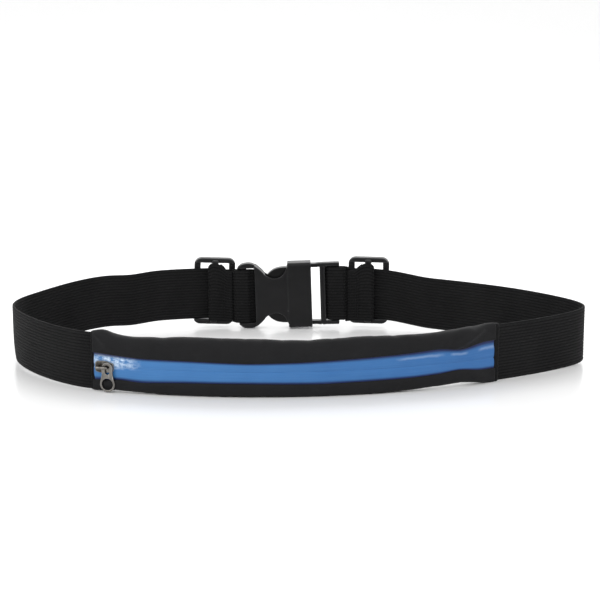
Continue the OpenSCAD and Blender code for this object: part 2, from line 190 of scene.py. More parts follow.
def tapeFinish():
    f = Finish("coatedTape", roughness=0.36, coatRoughness=0.14, specularIorLevel=0.2)
    place, along, across = f.sheetPlace()
    streaks = f.clouds(f.stretched(place, (0.045, 2.2, 1)), 1.0, 3)
    twill = ((along + across * 0.8) * (2 * math.pi / 0.55)).sum("SINE")
    cloud = f.clouds(place, 0.07, 2)
    # the blue turns deeper steadily towards the right end: painted shade, as the light falls off away from the
    # left
    body = f.shade(streaks * tapeCoat["streak"] + cloud * 0.3 + along / 420, tapeCoat["blue"], tapeCoat["deep"])
    # painted shade: the tape is painted dark blue along its edges and at its left end, where the hems and binding
    # shade it
    edge = f.ramp((across.sum("ABSOLUTE") - tapeCoat["edgeAt"]) / 1.2, (0, 0), (0.6, 0.55), (1, 1))
    edge = edge + f.ramp(along, (0.5, 1), (1, 0))
    # the coating is crumpled on the upper half at the slider's end, and pale glints are painted on its creases
    # there as painted highlights
    nearSlider = f.ramp(along / tapeCoat["crumpleEnd"], (0.6, 1), (1, 0))
    crumpled = nearSlider * f.ramp((across + 1.2) / 2, (0, 0), (1, 1))
    creases = f.clouds(f.stretched(place, (0.7, 1.2, 1)), 0.36, 5, 0.68)
    glints = f.ramp(creases, (0.41, 0), (0.62, 0.95)) * crumpled
    # painted highlights: thin pale lines along the tape's upper edge over the listed spans of its length
    for first, last in tapeCoat["seams"]:
        middle, reach = (first + last) / 2, (last - first) / 2
        window = f.ramp((along - middle).sum("ABSOLUTE") / reach, (0.6, 1), (1, 0))
        line = f.ramp((across - tapeCoat["edgeAt"] + f.clouds(place, 0.2, 2)).sum("ABSOLUTE"), (0, 1), (0.75, 0))
        glints = glints + window * line * tapeCoat["seamGlint"]
    # the painted highlights are mixed into the tape's colour here
    body = f.shade(glints, body, tapeCoat["glint"])
    f.feed("baseColor", f.shade(edge, body, tapeCoat["navy"]))
    f.feed("roughness", 0.3 + streaks * 0.16 - crumpled * 0.12)
    f.feed("coatWeight", 0.05 + f.clouds(place, 0.3, 2) * 0.25 + crumpled * 0.6)
    f.relief(twill * 0.12 + streaks * 0.8 + f.clouds(place, 1.1, 3) * 1.1 + creases * crumpled * 6.0,
             tapeCoat["relief"])
    return f.material


elastic = {"rib": 30 / 18, "thread": 0.85, "dark": (0.0018, 0.0018, 0.002), "light": (0.0175, 0.0175, 0.018),
           "relief": 0.3}


def elasticFinish():
    f = Finish("elasticWebbing", roughness=0.72, sheenWeight=0.03, sheenRoughness=0.4, specularIorLevel=0.09)
    place, along, across = f.sheetPlace()
    rib = across / elastic["rib"]
    crown = ((rib * math.pi).sum("SINE")).sum("ABSOLUTE")
    thread = (along * (2 * math.pi / elastic["thread"]) + rib.sum("FLOOR") * math.pi).sum("SINE")
    lint = f.clouds(place, 1.6, 3)
    patches = f.clouds(f.stretched(place, (1, 0.4, 1)), 0.05, 3)
    # the rib tops are painted lighter and the grooves between them darker, painted shade in the grooves; thread,
    # lint and patches add tone on top
    tone = crown * 0.45 + thread * crown * 0.12 + lint * 0.3 + patches * 0.6 - 0.3
    f.feed("baseColor", f.shade(tone, elastic["dark"], elastic["light"]))
    f.feed("roughness", 0.62 + lint * 0.2)
    f.relief(crown * 0.5 + thread * crown * 0.3 + lint * 0.35, elastic["relief"])
    return f.material


metal = {"bright": (0.52, 0.5, 0.47), "plain": (0.2, 0.19, 0.175), "dark": (0.022, 0.018, 0.012), "relief": 0.04}


def metalFinish(name, tarnishAndReflection):
    f = Finish(name, metallic=1.0, roughness=0.32)
    place = f.bodyPlace()
    pits = f.clouds(place, 2600, 3)
    smears = f.clouds(f.stretched(place, (1, 1, 0.5)), 330, 3)
    # painted highlight: convex edges are painted pale
    edge = f.ramp(f.node("ShaderNodeNewGeometry", None, None, 7), (0.5, 0), (0.57, 1))
    # painted shade: concave recesses are painted dark
    hollowShade = f.ramp(f.node("ShaderNodeNewGeometry", None, None, 7), (0.42, 1), (0.5, 0))
    # dark smears, partly the metal's own discolouring and partly painted dark reflection
    stainAndReflection = f.ramp(smears, (0.42, 0), (0.6, 1)) * tarnishAndReflection
    body = f.shade((stainAndReflection + hollowShade).sum("MINIMUM", 1.0), metal["plain"], metal["dark"])
    f.feed("baseColor", f.shade(edge * 0.85, body, metal["bright"]))
    f.feed("roughness", 0.2 + smears * 0.2 + pits * 0.08)
    f.relief(pits * 0.6 + smears * 1.4, metal["relief"])
    return f.material


acetal = {"base": (0.0035, 0.0035, 0.004), "worn": (0.05, 0.05, 0.052), "relief": 0.025}


def plasticFinish(name="mouldedAcetal", gloss=0.0, toneAndShadeDim=1.0):
    f = Finish(name, roughness=0.38, specularIorLevel=0.24)
    place = f.bodyPlace()
    grain = f.clouds(place, 3400, 2)
    flow = f.clouds(f.stretched(place, (0.5, 1, 1)), 160, 3)
    # painted highlight: the edges and rims are painted paler, with flow marks adding a little random tone
    edge = f.ramp(f.node("ShaderNodeNewGeometry", None, None, 7), (0.5, 0), (0.62, 1))
    # a darkened copy is darker all over, painted shade
    tones = [[c * toneAndShadeDim for c in acetal[k]] for k in ("base", "worn")]
    f.feed("baseColor", f.shade(edge * 0.8 + flow * 0.12, *tones))
    f.feed("roughness", 0.25 - gloss + flow * 0.1 + grain * 0.08)
    f.relief(grain + flow * 0.7, acetal["relief"])
    return f.material


def threadFinish():
    f = Finish("threadBlack", roughness=0.6, sheenWeight=0.03, specularIorLevel=0.1)
    place = f.bodyPlace()
    ply = f.clouds(f.stretched(place, (1, 1, 0.4)), 2200, 2)
    f.feed("baseColor", f.shade(ply, (0.003, 0.003, 0.0034), (0.009, 0.009, 0.0095)))
    f.feed("roughness", 0.5 + ply * 0.2)
    f.relief(ply, 0.05)
    return f.material


def coilFinish():
    f = Finish("nylonCoil", roughness=0.4)
    place = f.bodyPlace()
    tint = f.clouds(place, 500, 2)
    f.feed("baseColor", f.shade(tint, (0.02, 0.07, 0.2), (0.05, 0.16, 0.4)))
    f.feed("roughness", 0.3 + tint * 0.2)
    f.relief(f.clouds(place, 3000, 2), 0.02)
    return f.material


finishes = {
    # the binding knit is darkened to half: partly its own darker tone, partly painted shade for the gap at the
    # pouch's ends
    "pouch": knitFinish("stretchKnit"), "binding": knitFinish("bindingKnitToneAndShade", 0.5), "tape": tapeFinish(),
    "webbing": elasticFinish(), "metal": metalFinish("gunmetal", 0.8),
    "pull": metalFinish("nickelPull", 0.25), "plastic": plasticFinish(), "thread": threadFinish(),
    # the prong plastic is darkened to 0.4 as painted shade for the notches where the prongs and arm webs sit
    "prong": plasticFinish("mouldedProngShaded", 0.04, 0.4), "coil": coilFinish()}
print("finishes made")


# Meshes are built as grids of points, in millimetres.
def gridFaces(rows, columns, ringRows=False, ringColumns=False):
    i, j = np.meshgrid(np.arange(rows - (not ringRows)), np.arange(columns - (not ringColumns)), indexing="ij")
    i, j = i.ravel(), j.ravel()
    down, right = (i + 1) % rows, (j + 1) % columns
    faces = np.stack([i * columns + j, i * columns + right, down * columns + right, down * columns + j], 1)
    corners = np.stack([np.stack([i, j], 1), np.stack([i, j + 1], 1),
                        np.stack([i + 1, j + 1], 1), np.stack([i + 1, j], 1)], 1)
    return faces, corners


def meshPiece(name, points, faces, uvs=None):
    mesh = bpy.data.meshes.new(name)
    mesh.from_pydata((np.asarray(points) * millimetre).tolist(), [], [list(map(int, f)) for f in faces])
    if uvs is not None:
        layer = mesh.uv_layers.new(name="UVMap")
        layer.data.foreach_set("uv", np.asarray(uvs, np.float32).ravel())
    mesh.shade_smooth()
    piece = bpy.data.objects.new(name, mesh)
    scene.collection.objects.link(piece)
    return piece


def gridPiece(name, points, u, v, ringColumns=False, caps=False):
    rows, columns = points.shape[:2]
    faces, corners = gridFaces(rows, columns, False, ringColumns)
    uvs = np.stack([u[corners[..., 0]], v[corners[..., 1]]], -1)
    faces = [list(f) for f in faces]
    uvs = [list(map(tuple, c)) for c in uvs]
    if caps:
        for row in (0, rows - 1):
            ring = [row * columns + k for k in range(columns)]
            faces.append(ring[::-1] if row == 0 else ring)
            uvs.append([(u[row], v[k % columns]) for k in (range(columns)[::-1] if row == 0 else range(columns))])
    return meshPiece(name, points.reshape(-1, 3), faces, [p for c in uvs for p in c])


def fixOutward(piece):
    mesh = piece.data
    work = bmesh.new()
    work.from_mesh(mesh)
    bmesh.ops.recalc_face_normals(work, faces=work.faces)
    work.to_mesh(mesh)
    work.free()
    mesh.shade_smooth()


def addModifier(piece, kind, **settings):
    made = piece.modifiers.new(kind.lower(), kind)
    for name, value in settings.items():
        setattr(made, name, value)
    return made


def settle(piece):
    graph = bpy.context.evaluated_depsgraph_get()
    final = bpy.data.meshes.new_from_object(piece.evaluated_get(graph), preserve_all_data_layers=True,
                                            depsgraph=graph)
    piece.modifiers.clear()
    piece.data = final
    final.shade_smooth()


def dress(piece, finish, body=None, stands=()):
    piece.data.materials.clear()
    piece.data.materials.append(finishes[finish])
    if body:
        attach(piece, body)
    if stands:
        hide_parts(*stands)
    return piece


# A moulded or cast piece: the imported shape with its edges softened, and made fuller by swell.
def mouldedCopy(name, nodeName, finish, body, voxel, rounds, keep, swell=0):
    mesh = cadNodes[nodeName].data.copy()
    mesh.name = name
    mesh.transform(Matrix.Scale(1 / millimetre, 4))
    piece = bpy.data.objects.new(name, mesh)
    scene.collection.objects.link(piece)
    addModifier(piece, "REMESH", mode="VOXEL", voxel_size=voxel)
    addModifier(piece, "SMOOTH", factor=0.5, iterations=rounds)
    addModifier(piece, "DISPLACE", strength=swell, mid_level=0)
    addModifier(piece, "DECIMATE", ratio=keep)
    settle(piece)
    piece.data.transform(Matrix.Scale(millimetre, 4))
    return dress(piece, finish, body, (nodeName,))


def smoothStep(t):
    t = np.clip(t, 0, 1)
    return t * t * (3 - 2 * t)


def blur(values, steps):
    span = int(steps * 3)
    kernel = np.exp(-0.5 * (np.arange(-span, span + 1) / steps) ** 2)
    padded = np.pad(values, span, mode="edge")
    return np.convolve(padded, kernel / kernel.sum(), "valid")


# The belt's route is worked out as seen from above.
belt = {"width": 30.0, "thickness": 1.4, "ribs": 18, "groove": 0.26, "low": 5.5, "frontLow": 0.5,
        "leftLevel": 70.0, "rightLevel": 52.0, "leftHandles": (39.5, 20.6), "rightHandles": (81.6, 87),
        "leftRadius": 146.0, "leftSweep": 50.0, "rightRadius": 112.0, "rightSweep": 41.0,
        "bendLean": -1.5, "bendAt": 138.0, "arcSteps": 72, "bendSteps": 90, "barThickness": 2.0, "stubGap": 1.55,
        "tightTurn": 0.95}
pouch = {"radius": 269.0, "leftEnd": -18.4, "rightEnd": 27.0, "leftBinding": 1.0, "rightBinding": 2.4,
         "front": 2.4, "back": -3.4, "zipHeight": 13.2}
buckle = {"middle": 20.35, "tilt": 1.8, "slotEnd": -25.1, "left": -36.8, "rootX": 10.4, "armZ": (16.0, 18.1)}


leftCentre = jointPlace("left_glide_slide")
rightCentre = jointPlace("right_glide_slide")
buckleLine = leftCentre[1] + belt["leftRadius"]
midHeight = buckle["middle"]
leftBuckleX, rightBuckleX = leftCentre[0], rightCentre[0]


def polar(centre, radius, angle):
    angle = np.radians(np.asarray(angle, float))
    return centre + radius * np.stack([np.cos(angle), np.sin(angle)], -1)


def beltRoute(side, centre, radius, sweep, handles, endAngle, binding):
    turn = 90 - side * sweep
    arc = polar(centre, radius, np.linspace(90, turn, belt["arcSteps"] + 1))
    leave = side * np.array([math.sin(math.radians(turn)), -math.cos(math.radians(turn))])
    bindingAngle = math.degrees(binding / pouch["radius"])
    foot = polar(pouchCentre, pouch["radius"], endAngle - 90 + side * bindingAngle)
    along = side * np.array([math.cos(math.radians(endAngle)), math.sin(math.radians(endAngle))])
    t = np.linspace(0, 1, belt["bendSteps"] + 1)[1:, None]
    s = 1 - t
    start = arc[-1]
    bend = (s ** 3 * start + 3 * s * s * t * (start + handles[0] * leave)
            + 3 * s * t * t * (foot + handles[1] * along) + t ** 3 * foot)
    return np.concatenate([arc, bend, [foot - (binding - 0.1) * along]])


leftRoute = beltRoute(-1, leftCentre, belt["leftRadius"], belt["leftSweep"], belt["leftHandles"],
                      pouch["leftEnd"], pouch["leftBinding"])
rightRoute = beltRoute(1, rightCentre, belt["rightRadius"], belt["rightSweep"], belt["rightHandles"],
                       pouch["rightEnd"], pouch["rightBinding"])


def runAlong(points):
    return np.concatenate([[0], np.cumsum(np.hypot(*np.diff(points, axis=0).T))])


def outwardOf(points, side):
    step = np.gradient(points, axis=0)
    step /= np.hypot(*step.T)[:, None]
    return np.stack([step[:, 1], -step[:, 0]], 1) * -side


def lowEdge(points, level):
    run = runAlong(points)
    return belt["low"] + (belt["frontLow"] - belt["low"]) * smoothStep((run - level) / (run[-1] - level))


# Around the webbing: height from its lower edge, offset from its middle, and distance round.
def webbingSection(width, thickness):
    perRib, half = 6, thickness / 2
    ribs = belt["ribs"]
    k = np.arange(ribs * perRib + 1) / perRib
    groove = belt["groove"] * (1 - np.abs(np.sin(k * math.pi)) ** 0.55)
    groove[[0, -1]] = 0.1
    height = 0.25 + k / ribs * (width - 0.5)
    face = half - groove
    edge = np.array([-0.42, 0, 0.42]) * thickness * 0.75
    edgeZ = np.array([0.06, 0, 0.06])
    z = np.concatenate([height, width - edgeZ, height[::-1], edgeZ])
    n = np.concatenate([face, edge[::-1], -face[::-1], edge])
    v = np.concatenate([k * width / ribs, [width + 0.4, width + 0.8, width + 1.2],
                        k[::-1] * width / ribs, [-0.4, -0.8, -1.2]])
    return z, n, np.append(v, 0)


# One length of webbing, extruded along its route and closed at both ends.
def webbing(name, points, low, side, width=None, thickness=None, shear=None, rise=None, lean=None):
    width, thickness = width or belt["width"], thickness or belt["thickness"]
    z, n, v = webbingSection(width, thickness)
    out = outwardOf(points, side)
    run = runAlong(points)
    low = np.broadcast_to(low, run.shape)
    none = np.zeros(len(run))
    shear, rise, lean = (none if a is None else a for a in (shear, rise, lean))
    # shear moves it towards -x with the buckle's tilt, lean draws the lower edge in, rise lifts the upper part
    flat = points[:, None] + out[:, None] * (n[None] + lean[:, None] * ((1 - z / width) ** 5)[None])[..., None]
    fromMid = z - width / 2
    flat[..., 0] -= shear[:, None] * fromMid[None]
    high = low[:, None] + z[None] + rise[:, None] * ((z / width) ** 2)[None]
    solid = np.concatenate([flat, high[..., None]], -1)
    piece = gridPiece(name, solid, run, v, ringColumns=True, caps=True)
    fixOutward(piece)
    return piece


# Inside the buckle the webbing goes in, round a bar, and out again behind.
def barTurn(side, endX, barX, stub, deep):
    turnRadius = belt["barThickness"] / 2 + 0.1 + belt["thickness"] / 2
    sweep = np.linspace(-90, -90 - side * 180, 19)
    tight, inward = belt["tightTurn"], -side
    lead = np.array([[endX + side * stub, buckleLine - belt["stubGap"]],
                     [endX + side * (stub * 0.55), buckleLine - belt["stubGap"] - 0.75],
                     [endX + side * 0.5, buckleLine - 2 * turnRadius]])
    # the near layer dips into the slot behind the bar and fills it before it turns back
    dip = np.array([[barX, buckleLine - 2 * turnRadius], [barX + inward * 0.7, buckleLine - 2 * turnRadius + 0.3],
                    [barX + inward * 1.6, buckleLine - 2 * tight - 0.4]])
    return np.concatenate([lead, dip, polar(np.array([deep - inward * 1.65, buckleLine - tight]), tight, sweep)])


leftTurn = barTurn(-1, leftBuckleX, leftBuckleX + 6.1, 2.4, leftBuckleX + buckle["slotEnd"] - buckle["left"] - 0.4)
rightTurn = barTurn(1, rightBuckleX, rightBuckleX - 6.6, 2.2, rightBuckleX - 10.15)


def strapPiece(name, side, turn, route, level, atBuckle, spread, sags):
    whole = np.concatenate([turn, route])
    lows = np.concatenate([np.full(len(turn), belt["low"]), lowEdge(route, level)])
    run = runAlong(whole)
    fine = np.concatenate([np.linspace(0, run[len(turn)], 56)[:-1], np.arange(run[len(turn)], run[-1], 1.6),
                           [run[-1]]])
    points = np.stack([np.interp(fine, run, whole[:, k]) for k in (0, 1)], 1)
    lows, out = np.interp(fine, run, lows), fine - run[len(turn)]
    # in the buckle's slot the strap stands with the tilt and spreads, and it sags beyond the glide
    lows = lows + atBuckle * (1 - smoothStep(out / 13))
    for middle, before, after, deep in sags:
        lows = lows - deep * np.exp(-((out - middle) / np.where(out < middle, before, after)) ** 2)
    shear = math.tan(math.radians(buckle["tilt"])) * (1 - smoothStep(out / 11))
    lean = belt["bendLean"] * np.exp(-((out - belt["bendAt"]) / 34) ** 2) if side < 0 else None
    rise = spread * (1 - smoothStep((out - 1) / 7))
    return webbing(name, points, lows, side, shear=shear, rise=rise, lean=lean)


strap = {"left": {"level": belt["leftLevel"], "atBuckle": -2.3, "spread": 1.5,
                  "sags": ((63, 11, 11, 1.2), (134, 34, 30, 2.4))},
         "right": {"level": belt["rightLevel"], "atBuckle": -0.5, "spread": 1.6, "sags": ((54, 22, 45, 3.5),)}}
leftWebbing = strapPiece("leftWebbing", -1, leftTurn, leftRoute, **strap["left"])
dress(leftWebbing, "webbing", "belt", ("left_webbing",))
rightWebbing = strapPiece("rightWebbing", 1, rightTurn, rightRoute, **strap["right"])
dress(rightWebbing, "webbing", None, ("right_webbing_front", "right_webbing_rear"))
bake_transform(rightWebbing)
print("webbing woven")


# Each glide carries the sewn end of its strap, and a layer that returns to the buckle.
glide = {"leftAt": 13.5, "rightAt": 15.4, "leftSlant": 0.12, "rightSlant": 0.03, "low": 5.0, "hump": 4.1,
         "foldReach": 4.5, "openReach": 7.5,
         "barHalf": 1.6, "barIn": -3.6, "barOut": -2.0, "loopThickness": 1.15, "loopWidth": 29.8,
         "leftFlap": 10.7, "rightFlap": 12.0, "inner": -1.5}


def onArc(centre, radius, side, run, outward):
    angle = 90 - side * np.degrees(np.asarray(run, float) / radius)
    return centre + (radius + np.asarray(outward, float))[..., None] * np.stack(
        [np.cos(np.radians(angle)), np.sin(np.radians(angle))], -1)


def curveThrough(points, steps):
    p = np.asarray(points, float)
    p = np.concatenate([[2 * p[0] - p[1]], p, [2 * p[-1] - p[-2]]])
    out = []
    for i in range(1, len(p) - 2):
        a, b, c, d = p[i - 1:i + 3]
        for t in np.arange(steps) / steps:
            out.append(0.5 * (2 * b + (c - a) * t + (2 * a - 5 * b + 4 * c - d) * t * t
                              + (3 * b - a - 3 * c + d) * t ** 3))
    return np.array(out + [p[-2]])


# The webbing bunches up where it goes round a glide's centre bar.
def glideRise(fromBar):
    fromBar = np.asarray(fromBar)
    reach = np.where(fromBar > 0, glide["foldReach"], glide["openReach"])
    return glide["hump"] * np.maximum(0, 1 - (fromBar / reach) ** 2)


def sewnEnd(name, side, centre, radius, at, flap, body, slant):
    half, t = glide["barHalf"], glide["loopThickness"]
    near, far = glide["barOut"] + t / 2 + 0.1, glide["barIn"] - t / 2 - 0.12
    rest = glide["inner"] - t - 0.1
    # from the raw edge over the bar's inner side, round its far side, and back on the outer side
    line = curveThrough([(-flap, rest), (-flap + 2.5, rest - 0.05), (-half - 3.4, rest - 0.25),
                         (-half - 1.2, far + 0.35), (-half + 0.6, far), (half + 0.2, far + 0.05),
                         (half + 1.1, far + 0.5),
                         (half + 1.5, (near + far) / 2), (half + 1.0, near - 0.3), (half - 0.4, near),
                         (-half - 1.5, near), (-half - 5.5, glide["inner"])], 6)
    points = onArc(centre, radius, side, at + line[:, 0], line[:, 1])
    low = glide["low"] - slant * np.maximum(-line[:, 0], 0)
    piece = webbing(name, points, low, side, glide["loopWidth"], t, rise=glideRise(line[:, 0]))
    return dress(piece, "webbing", body, (body.replace("_glide", "_sewn_loop"),))


def returnLayer(name, side, centre, radius, at, low):
    start, end = 1.5, at - glide["barHalf"] - 2.2
    run = np.linspace(start, end, 60)
    near = glide["barOut"] + glide["loopThickness"] / 2 + 0.1
    offset = np.interp(run, [start, start + 1.5, at - glide["barHalf"] - 5.5, end],
                       [-belt["stubGap"] - 0.35, -belt["stubGap"], glide["inner"], near])
    points = onArc(centre, radius, side, run, offset)
    share = smoothStep((run - start - 0.5) / (end - start - 1.5))
    width = glide["loopWidth"] + 0.4
    shear = math.tan(math.radians(buckle["tilt"])) * (1 - share)
    piece = webbing(name, points, low + share * (glide["low"] - 0.1 - low), side, width, belt["thickness"] - 0.3,
                    shear=shear, rise=glideRise(run - at))
    dress(piece, "webbing")
    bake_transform(piece)
    return piece


sewnEnd("leftSewnEnd", -1, leftCentre, belt["leftRadius"], glide["leftAt"], glide["leftFlap"], "left_glide",
        glide["leftSlant"])
sewnEnd("rightSewnEnd", 1, rightCentre, belt["rightRadius"], glide["rightAt"], glide["rightFlap"], "right_glide",
        glide["rightSlant"])
returnLayer("leftReturnLayer", -1, leftCentre, belt["leftRadius"], glide["leftAt"], 3.3)
returnLayer("rightReturnLayer", 1, rightCentre, belt["rightRadius"], glide["rightAt"],
            3.8)
mouldedCopy("leftTriGlide", "left_glide", "plastic", "left_glide", 0.3, 5, 0.35, 0.25)
mouldedCopy("rightTriGlide", "right_glide", "plastic", "right_glide", 0.3, 5, 0.35, 0.25)
print("glides and sewn ends made")


# The buckle keeps its shapes, with its edges rounded off.
mouldedCopy("buckleSocket", "buckle_socket", "plastic", "belt", 0.3, 4, 0.3)
bucklePlug = mouldedCopy("bucklePlug", "buckle_plug", "plastic", "plug_side", 0.3, 4, 0.35)
# The ends of its rails close up against the end bar.
railEnd = (rightBuckleX - 2.2) * millimetre
for vertex in bucklePlug.data.vertices:
    vertex.co.x = min(vertex.co.x, railEnd + (vertex.co.x - railEnd) * 0.25)
mouldedCopy("upperProng", "upper_prong", "prong", "upper_prong", 0.28, 6, 0.4)
mouldedCopy("lowerProng", "lower_prong", "prong", "lower_prong", 0.28, 6, 0.4)


# The arms run on into the plug without a step: a short web each, bent with the arm.
armRoot = {"before": 2.2, "after": 1.9, "steps": 12, "around": 28, "flare": 0.36, "depth": 2.34, "deeper": 0.1}


def armWeb(name, sign):
    z0, z1 = buckle["armZ"]
    x = np.linspace(-armRoot["before"], armRoot["after"], armRoot["steps"])
    share = smoothStep((x + armRoot["before"]) / (armRoot["before"] + armRoot["after"]))
    low, high, deep = z0 + 0.0 * x, z1 + armRoot["flare"] * share, armRoot["depth"] + armRoot["deeper"] * share
    a = np.linspace(0, 2 * math.pi, armRoot["around"], endpoint=False)
    wave, lift = np.cos(a), np.sin(a)
    boxed = (np.abs(wave) ** 6 + np.abs(lift) ** 6) ** (-1 / 6)
    y = deep[:, None] * (wave * boxed)[None]
    z = (low + high)[:, None] / 2 + (high - low)[:, None] / 2 * (lift * boxed)[None]
    tilt = math.radians(buckle["tilt"])
    along = (buckle["rootX"] + x)[:, None] + 0 * y
    origin = leftBuckleX - buckle["left"]
    points = np.stack([origin + along * math.cos(tilt) - sign * z * math.sin(tilt), barLine + y,
                       midHeight + along * math.sin(tilt) + sign * z * math.cos(tilt)], -1)
    piece = gridPiece(name, points, x, np.arange(armRoot["around"] + 1.0), ringColumns=True, caps=True)
    fixOutward(piece)
    dress(piece, "prong")
    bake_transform(piece)


barLine = buckleLine - belt["barThickness"] / 2 - 0.1 - belt["thickness"] / 2
armWeb("upperArmWeb", 1)
armWeb("lowerArmWeb", -1)
print("buckle moulded")


# The pouch is one closed tube of cloth, settled by simulation and then cut into its panels.
pouch.update({
    "step": 1.25, "sheet": 0.45, "blurEdge": 2.0, "foldHeight": 2.3, "behindPull": 2.75,
    "topEdge": [(-86.4, 30.4), (-84.5, 31.8), (-82.0, 33.2), (-79, 32), (-73.4, 29.7), (-65.7, 28.9),
                (-36.6, 30.3), (-8.4, 30.0), (21.2, 29.0), (54.8, 29.8), (85.8, 29.1), (103.2, 29.8),
                (116.7, 31.1), (123.4, 31.7), (126.8, 31.2)],
    "bottomEdge": [(-86.4, 0.2), (-73.8, 1.1), (-60.7, 0.8), (-47.6, 0.2), (21, 0.05), (45.5, 0.2), (63.6, 0.1),
                   (86.4, 1.2), (108.1, 2.2), (117.2, 0.9), (122.0, 0.1), (126.8, -0.1)],
    "zipTop": [(-86.4, 20.4), (-76, 20), (-59.8, 18.9), (-36, 18.9), (-5.2, 18.0), (20.9, 18.5), (50, 19.6),
               (80.2, 20.8), (94, 21.6), (101, 20.8), (107, 20.1), (112, 21.2), (119, 22.9), (126.8, 22.9)],
    "zipBottom": [(-86.4, 5.4), (-72.2, 6.8), (-68.1, 6.3), (-60, 5.6), (-36.1, 6.7), (-5.3, 6.9), (31, 6.4),
                  (50.1, 6.7), (80.4, 7.1), (96.2, 8.0), (104, 9.1), (109, 8.7), (117, 7.4), (126.8, 7.4)]})
frontRows, foldRows, backRows, lowRows, tapeRows = 11, 6, 14, 5, 7
leftS = math.radians(pouch["leftEnd"]) * pouch["radius"]
rightS = math.radians(pouch["rightEnd"]) * pouch["radius"]
columnS = np.linspace(leftS, rightS, int((rightS - leftS) / pouch["step"]) + 1)


def edgeLine(name, steps=pouch["blurEdge"]):
    s, z = np.array(pouch[name]).T
    return blur(np.interp(columnS, s, z), steps)


topZ = edgeLine("topEdge", 2.6)
bottomZ, zipTopZ, zipBottomZ = (edgeLine(k) for k in ("bottomEdge", "zipTop", "zipBottom"))


def pouchPlace(s, n, z):
    angle = np.asarray(s) / pouch["radius"]
    radius = pouch["radius"] + np.asarray(n)
    x = pouchCentre[0] + radius * np.sin(angle)
    y = pouchCentre[1] - radius * np.cos(angle)
    return np.stack(np.broadcast_arrays(x, y, z), -1)


def between(a, b, count, skipFirst=True):
    t = np.linspace(0, 1, count + skipFirst)[skipFirst:, None]
    return a[None] * (1 - t) + b[None] * t


# The pouch thins out towards the seams at its ends.
endShare = smoothStep(np.minimum(columnS - leftS, rightS - columnS) / 14)
frontN = 1.5 + (pouch["front"] - 1.5) * endShare
backN = -1.6 + (pouch["back"] + 1.6) * endShare
midN, halfN = (frontN + backN) / 2, (frontN - backN) / 2
foldH = np.full_like(columnS, pouch["foldHeight"])


def foldArc(height, sign, first, last, count):
    angle = np.radians(np.linspace(first, last, count))[:, None]
    n = midN + halfN * np.cos(angle)
    z = height - sign * foldH + sign * foldH * np.sin(np.abs(angle))
    return n, z


topN, topArcZ = foldArc(topZ, 1, 0, 180, foldRows + 2)
lowN, lowArcZ = foldArc(bottomZ, -1, 180, 0, foldRows + 2)
upZ = between(zipTopZ, topZ - foldH, frontRows, False)
crown = np.sin(np.linspace(0, 1, frontRows) * math.pi)[:, None]
upN = frontN + 0.5 * crown * endShare
downZ = between(topZ - foldH, bottomZ + foldH, backRows)[:-1]
downN = np.broadcast_to(backN, downZ.shape)
riseZ = between(bottomZ + foldH, zipBottomZ, lowRows)
riseN = np.broadcast_to(frontN, riseZ.shape)
bandZ = between(zipBottomZ, zipTopZ, tapeRows)[:-1]
bandN = np.broadcast_to(frontN - 0.85, bandZ.shape)
tubeN = np.concatenate([upN, topN[1:], downN, lowN, riseN, bandN])
tubeZ = np.concatenate([upZ, topArcZ[1:], downZ, lowArcZ, riseZ, bandZ])
upEnd = frontRows + foldRows + 1
downEnd = upEnd + len(downZ)
lowEnd = downEnd + len(lowN)
riseEnd = lowEnd + lowRows
tubeRows = len(tubeN)

cloth = {"scale": 10.0, "frames": 26, "grow": 0.028, "pressure": 0.55, "bend": 0.35, "cap": 1.5, "share": 0.35}


def settleCloth():
    base = pouchPlace(columnS[None], tubeN, tubeZ)
    faces = gridFaces(tubeRows, len(columnS), True, False)[0]
    piece = meshPiece("clothTube", base.reshape(-1, 3) * cloth["scale"], faces)
    mesh = piece.data
    # a slight crumple to start from, so that the extra length has somewhere to go
    for vertex in mesh.vertices:
        vertex.co += Vector(noise.noise_vector(vertex.co * 9.0)) * 0.0022
    hold = piece.vertex_groups.new(name="hold")
    weights = np.zeros((tubeRows, len(columnS)))
    weights[:, [0, 1, -2, -1]] = 1
    weights[riseEnd - 1:] = 0.9
    weights[0] = 0.9
    weights[riseEnd - 2] = weights[1] = 0.35
    weights[upEnd + 2:downEnd - 2] = np.maximum(weights[upEnd + 2:downEnd - 2], 0.12)
    weights[downEnd:lowEnd] = np.maximum(weights[downEnd:lowEnd], 0.3)
    for index, weight in enumerate(weights.ravel()):
        if weight > 0:
            hold.add([index], float(weight), "REPLACE")
    mod = addModifier(piece, "CLOTH")
    s = mod.settings
    s.quality, s.mass = 6, 0.25
    s.tension_stiffness = s.compression_stiffness = 14
    s.shear_stiffness, s.bending_stiffness = 4, cloth["bend"]
    s.air_damping = 3
    s.vertex_group_mass, s.pin_stiffness = "hold", 1.2
    s.shrink_min = -cloth["grow"]
    s.use_pressure, s.uniform_pressure_force = True, cloth["pressure"]
    s.effector_weights.gravity = 0
    mod.collision_settings.use_collision = False
    mod.point_cache.frame_start, mod.point_cache.frame_end = 1, cloth["frames"]
    for step in range(1, cloth["frames"] + 1):
        scene.frame_set(step)
    graph = bpy.context.evaluated_depsgraph_get()
    done = piece.evaluated_get(graph)
    moved = np.zeros(len(mesh.vertices) * 3, np.float32)
    done.data.vertices.foreach_get("co", moved)
    moved = moved.reshape(tubeRows, -1, 3) / (cloth["scale"] * millimetre)
    scene.frame_set(1)
    bpy.data.objects.remove(piece)
    return moved - base


drape = np.zeros((tubeRows, len(columnS), 3))
drape = settleCloth()
length = np.linalg.norm(drape, axis=-1, keepdims=True)
drape *= cloth["share"] * np.minimum(1, cloth["cap"] / np.maximum(length, 1e-6))
print("cloth settled, moved at most", round(float(length.max()), 2), "mm")

